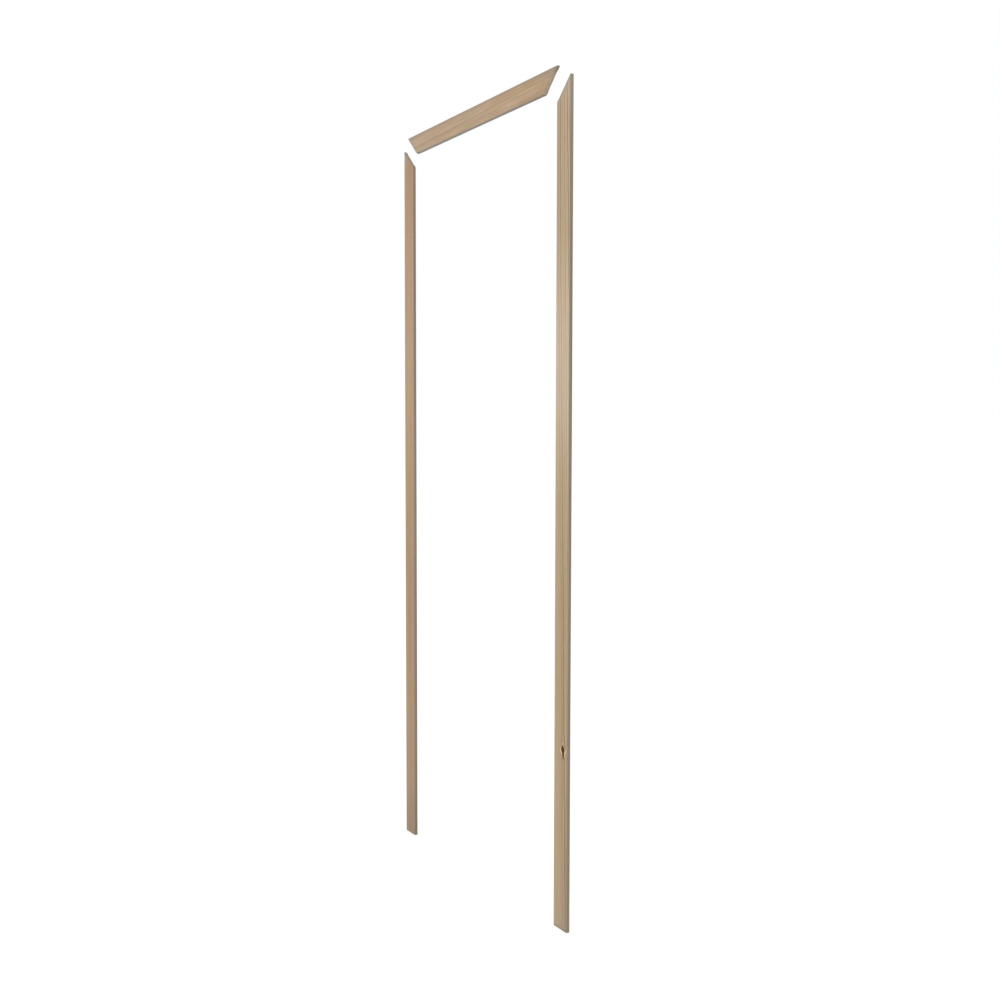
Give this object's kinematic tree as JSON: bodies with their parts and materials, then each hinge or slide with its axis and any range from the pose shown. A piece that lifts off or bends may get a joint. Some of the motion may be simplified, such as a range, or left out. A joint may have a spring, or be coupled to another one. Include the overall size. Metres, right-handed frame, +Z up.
{
  "type": "door casing",
  "caption": "Bare pine door casing of upright legs and a head, run from one flat moulding with eased edges, mitred at the top corners and laid out with the mitres open.",
  "frame": {"origin": "on the floor line, midway between the legs, on the wall plane that the backs of the sticks lie on", "axes": "+Z up along the legs, +Y into the wall, -Y into the room, +X to the right as seen from the room"},
  "size_m": [0.8684, 0.0095, 2.1686],
  "materials": {
    "bare_pine": "planed and unfinished"
  },
  "bodies": {
    "root": {"left_leg": "bare_pine", "right_leg": "bare_pine", "head_casing": "bare_pine"}
  },
  "joints": []
}
